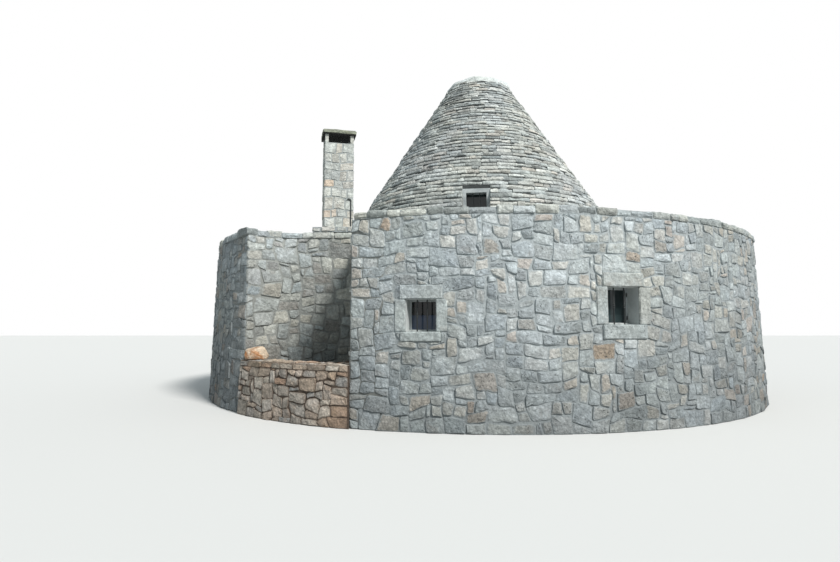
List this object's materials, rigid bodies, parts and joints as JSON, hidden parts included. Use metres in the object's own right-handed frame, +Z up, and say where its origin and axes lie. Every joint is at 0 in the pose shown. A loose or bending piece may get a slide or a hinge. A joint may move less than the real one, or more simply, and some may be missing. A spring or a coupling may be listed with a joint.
{
  "type": "trullo house",
  "caption": "Round dry stone house with a roof terrace, a stone cone over its middle room, barred windows, a recess with a planter, and a chimney.",
  "frame": {"origin": "centre of the round house at the lowest ground that its walls reach", "axes": "+Z up, -Y towards the front that the picture shows, +X to its right"},
  "size_m": [13.336, 13.336, 8.54],
  "materials": {
    "wall_stone": "rough",
    "coping_stone": "rough",
    "planter_stone": "rough",
    "soil": "loose",
    "chimney_stone": "rough",
    "floor_stone": "worn",
    "inner_stone": "limewashed",
    "cone_stone": "rough",
    "cap_stone": "weathered",
    "dressed_stone": "dressed",
    "frame_paint": "painted",
    "window_glass": "clear",
    "door_wood": "oiled"
  },
  "bodies": {
    "root": {"wall_front_left": "wall_stone", "wall_front_right": "wall_stone", "wall_right": "wall_stone", "wall_back_right": "wall_stone", "wall_back_left": "wall_stone", "wall_left_back": "wall_stone", "wall_doorway": "wall_stone", "wall_left_front": "wall_stone", "recess_wall": "wall_stone", "coping": "coping_stone", "planter_wall": "planter_stone", "planter_soil": "soil", "chimney_base": "chimney_stone", "chimney_stack": "chimney_stone", "chimney_posts": "chimney_stone", "chimney_cap": "chimney_stone", "floor": "floor_stone", "roof_deck": "floor_stone", "ring_wall_front_right": "inner_stone", "ring_wall_back_right": "inner_stone", "ring_wall_back_left": "inner_stone", "ring_wall_front_left": "inner_stone", "cone": "cone_stone", "cone_cap": "cap_stone", "cone_window_surround": "dressed_stone", "left_window_lintel": "dressed_stone", "left_window_jambs": "dressed_stone", "left_window_sill": "dressed_stone", "right_window_lintel": "dressed_stone", "right_window_jambs": "dressed_stone", "right_window_sill": "dressed_stone", "back_window_lintel": "dressed_stone", "back_window_jambs": "dressed_stone", "back_window_sill": "dressed_stone", "door_lintel": "dressed_stone", "door_jambs": "dressed_stone", "door_threshold": "dressed_stone", "left_window_frame": "frame_paint", "right_window_frame": "frame_paint", "back_window_frame": "frame_paint", "left_window_glass": "window_glass", "right_window_glass": "window_glass", "back_window_glass": "window_glass", "cone_window_glass": "window_glass", "door_leaf": "door_wood"}
  },
  "joints": []
}
